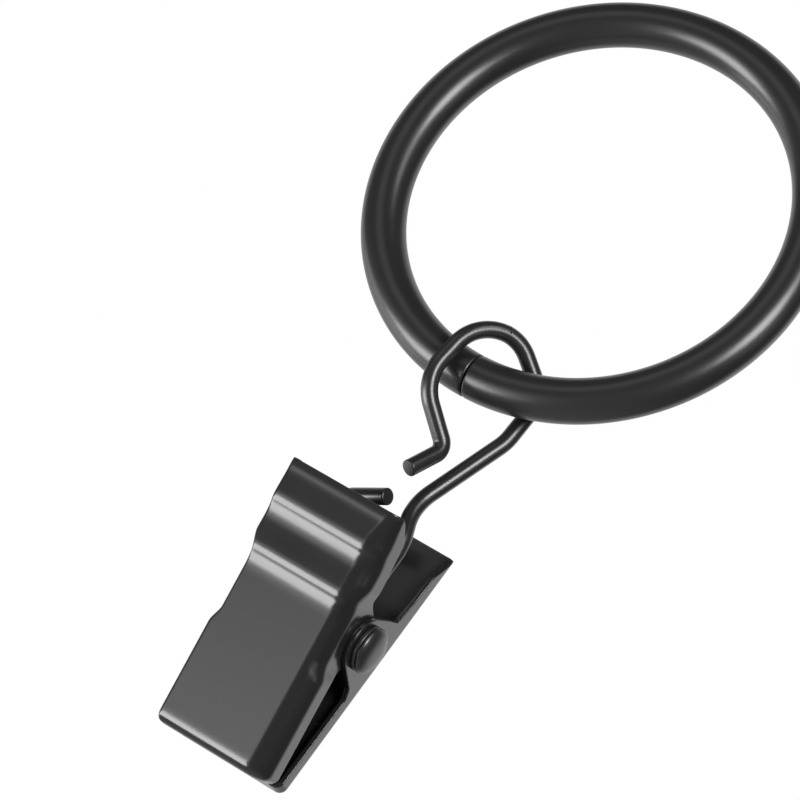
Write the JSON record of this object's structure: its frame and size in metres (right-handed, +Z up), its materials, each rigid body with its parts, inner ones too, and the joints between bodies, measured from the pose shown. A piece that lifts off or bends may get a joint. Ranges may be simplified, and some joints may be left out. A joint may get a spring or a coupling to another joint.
{
  "type": "curtain ring with clip",
  "caption": "Black wire ring for a curtain rod with a bent wire hook that hangs a sprung, folded-sheet clip with interlocking toothed jaws.",
  "frame": {"origin": "centre of the ring, on its axis and halfway through its wire", "axes": "+Y along the ring's axis, which is the rod's direction; +Z up; +X along the clip's width and its rivet; the clip hangs towards -Z with its back jaw towards +Y"},
  "size_m": [0.047, 0.0168, 0.0888],
  "materials": {
    "ring_black": "semi-gloss",
    "wire_black": "semi-gloss",
    "jaw_black": "satin",
    "rivet_black": "semi-gloss"
  },
  "bodies": {
    "ring": {"ring": "ring_black"},
    "front": {"hook_wire": "wire_black", "front_jaw": "jaw_black"},
    "back": {"back_jaw": "jaw_black", "rivet": "rivet_black"}
  },
  "joints": [
    {"name": "hook_on_ring", "type": "hinge", "parent": "ring", "child": "front", "pos_m": [0, 0, 0], "axis": [0, 1, 0], "continuous": true},
    {"name": "jaw_hinge", "type": "hinge", "parent": "front", "child": "back", "pos_m": [0, 0.0047, -0.0488], "axis": [1, 0, 0], "range_deg": [0, 20], "stiffness_Nm_per_rad": 0.003, "springref_deg": -34.38, "deforming": ["hook_wire"]}
  ]
}
